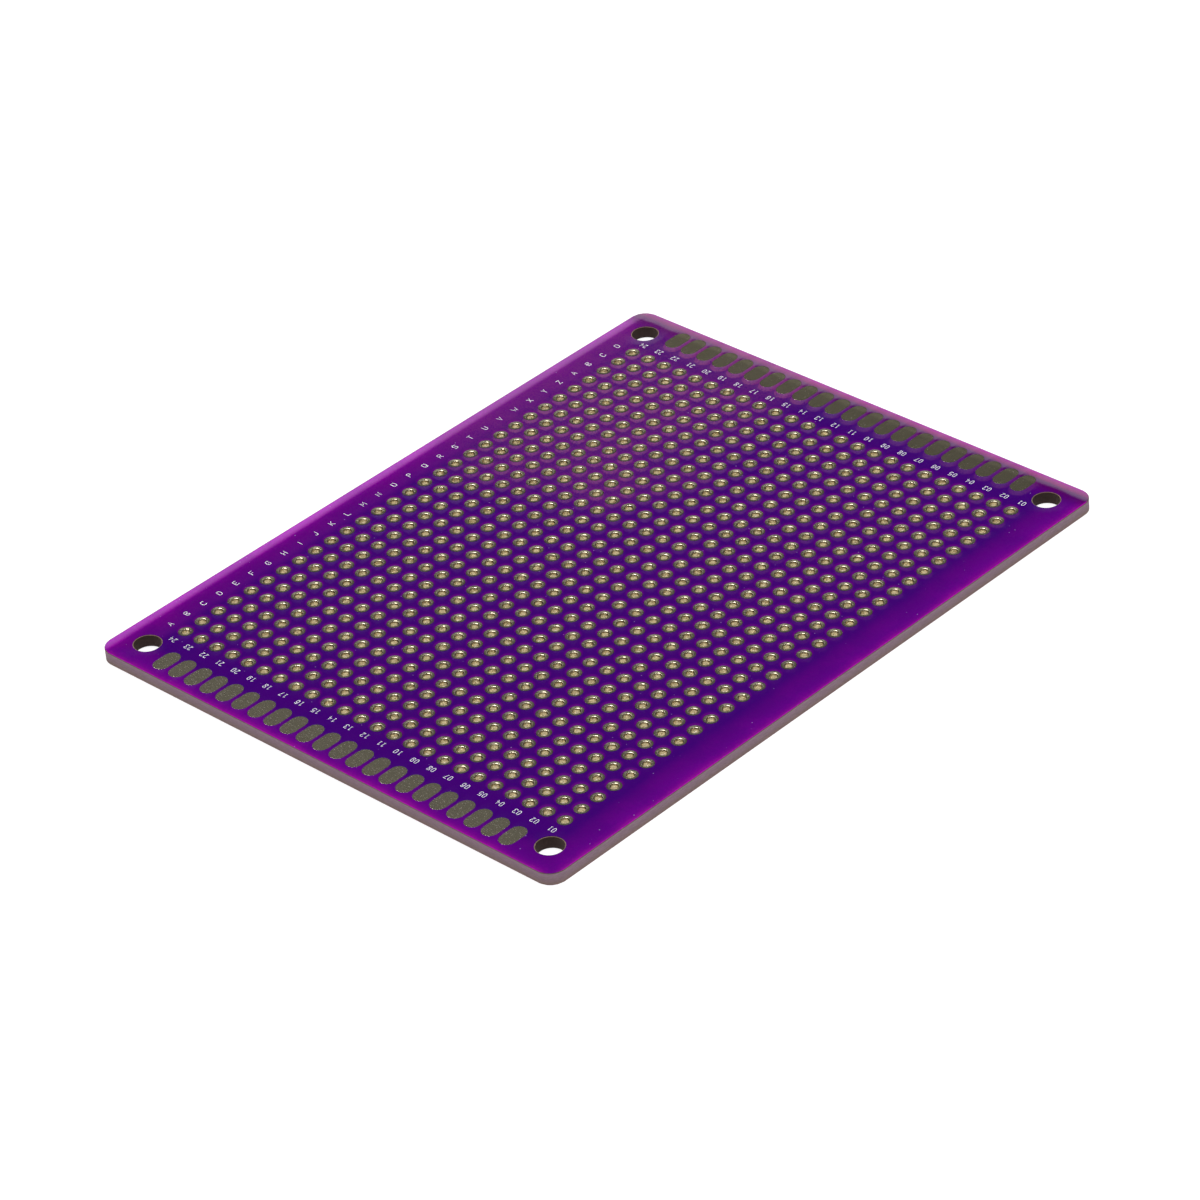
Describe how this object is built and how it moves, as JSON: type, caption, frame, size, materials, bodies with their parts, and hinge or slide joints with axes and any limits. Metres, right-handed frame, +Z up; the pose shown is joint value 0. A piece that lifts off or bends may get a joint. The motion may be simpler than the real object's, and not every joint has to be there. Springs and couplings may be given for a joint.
{
  "type": "prototype board",
  "caption": "Rectangular double-sided prototyping circuit board with a grid of plated lead holes, edge contacts at both short ends and a mounting hole in each corner.",
  "frame": {"origin": "middle of the plane that the lower pads rest on", "axes": "+X along the short side, from column 24 to column 01; +Y along the long side, from row A at the near end; +Z up, out of the printed face"},
  "size_m": [0.07, 0.09, 0.0016],
  "materials": {
    "laminate": "sawn glass-epoxy laminate, matt",
    "solder_mask": "glossy translucent purple solder mask",
    "tinned_copper": "levelled solder over copper, dull with fine scratches"
  },
  "bodies": {
    "root": {"laminate": "laminate", "solder_mask_top": "solder_mask", "solder_mask_bottom": "solder_mask", "near_contacts_top": "tinned_copper", "near_contacts_bottom": "tinned_copper", "far_contacts_top": "tinned_copper", "far_contacts_bottom": "tinned_copper", "plated_row_01": "tinned_copper", "plated_row_02": "tinned_copper", "plated_row_03": "tinned_copper", "plated_row_04": "tinned_copper", "plated_row_05": "tinned_copper", "plated_row_06": "tinned_copper", "plated_row_07": "tinned_copper", "plated_row_08": "tinned_copper", "plated_row_09": "tinned_copper", "plated_row_10": "tinned_copper", "plated_row_11": "tinned_copper", "plated_row_12": "tinned_copper", "plated_row_13": "tinned_copper", "plated_row_14": "tinned_copper", "plated_row_15": "tinned_copper", "plated_row_16": "tinned_copper", "plated_row_17": "tinned_copper", "plated_row_18": "tinned_copper", "plated_row_19": "tinned_copper", "plated_row_20": "tinned_copper", "plated_row_21": "tinned_copper", "plated_row_22": "tinned_copper", "plated_row_23": "tinned_copper", "plated_row_24": "tinned_copper", "plated_row_25": "tinned_copper", "plated_row_26": "tinned_copper", "plated_row_27": "tinned_copper", "plated_row_28": "tinned_copper", "plated_row_29": "tinned_copper", "plated_row_30": "tinned_copper"}
  },
  "joints": []
}
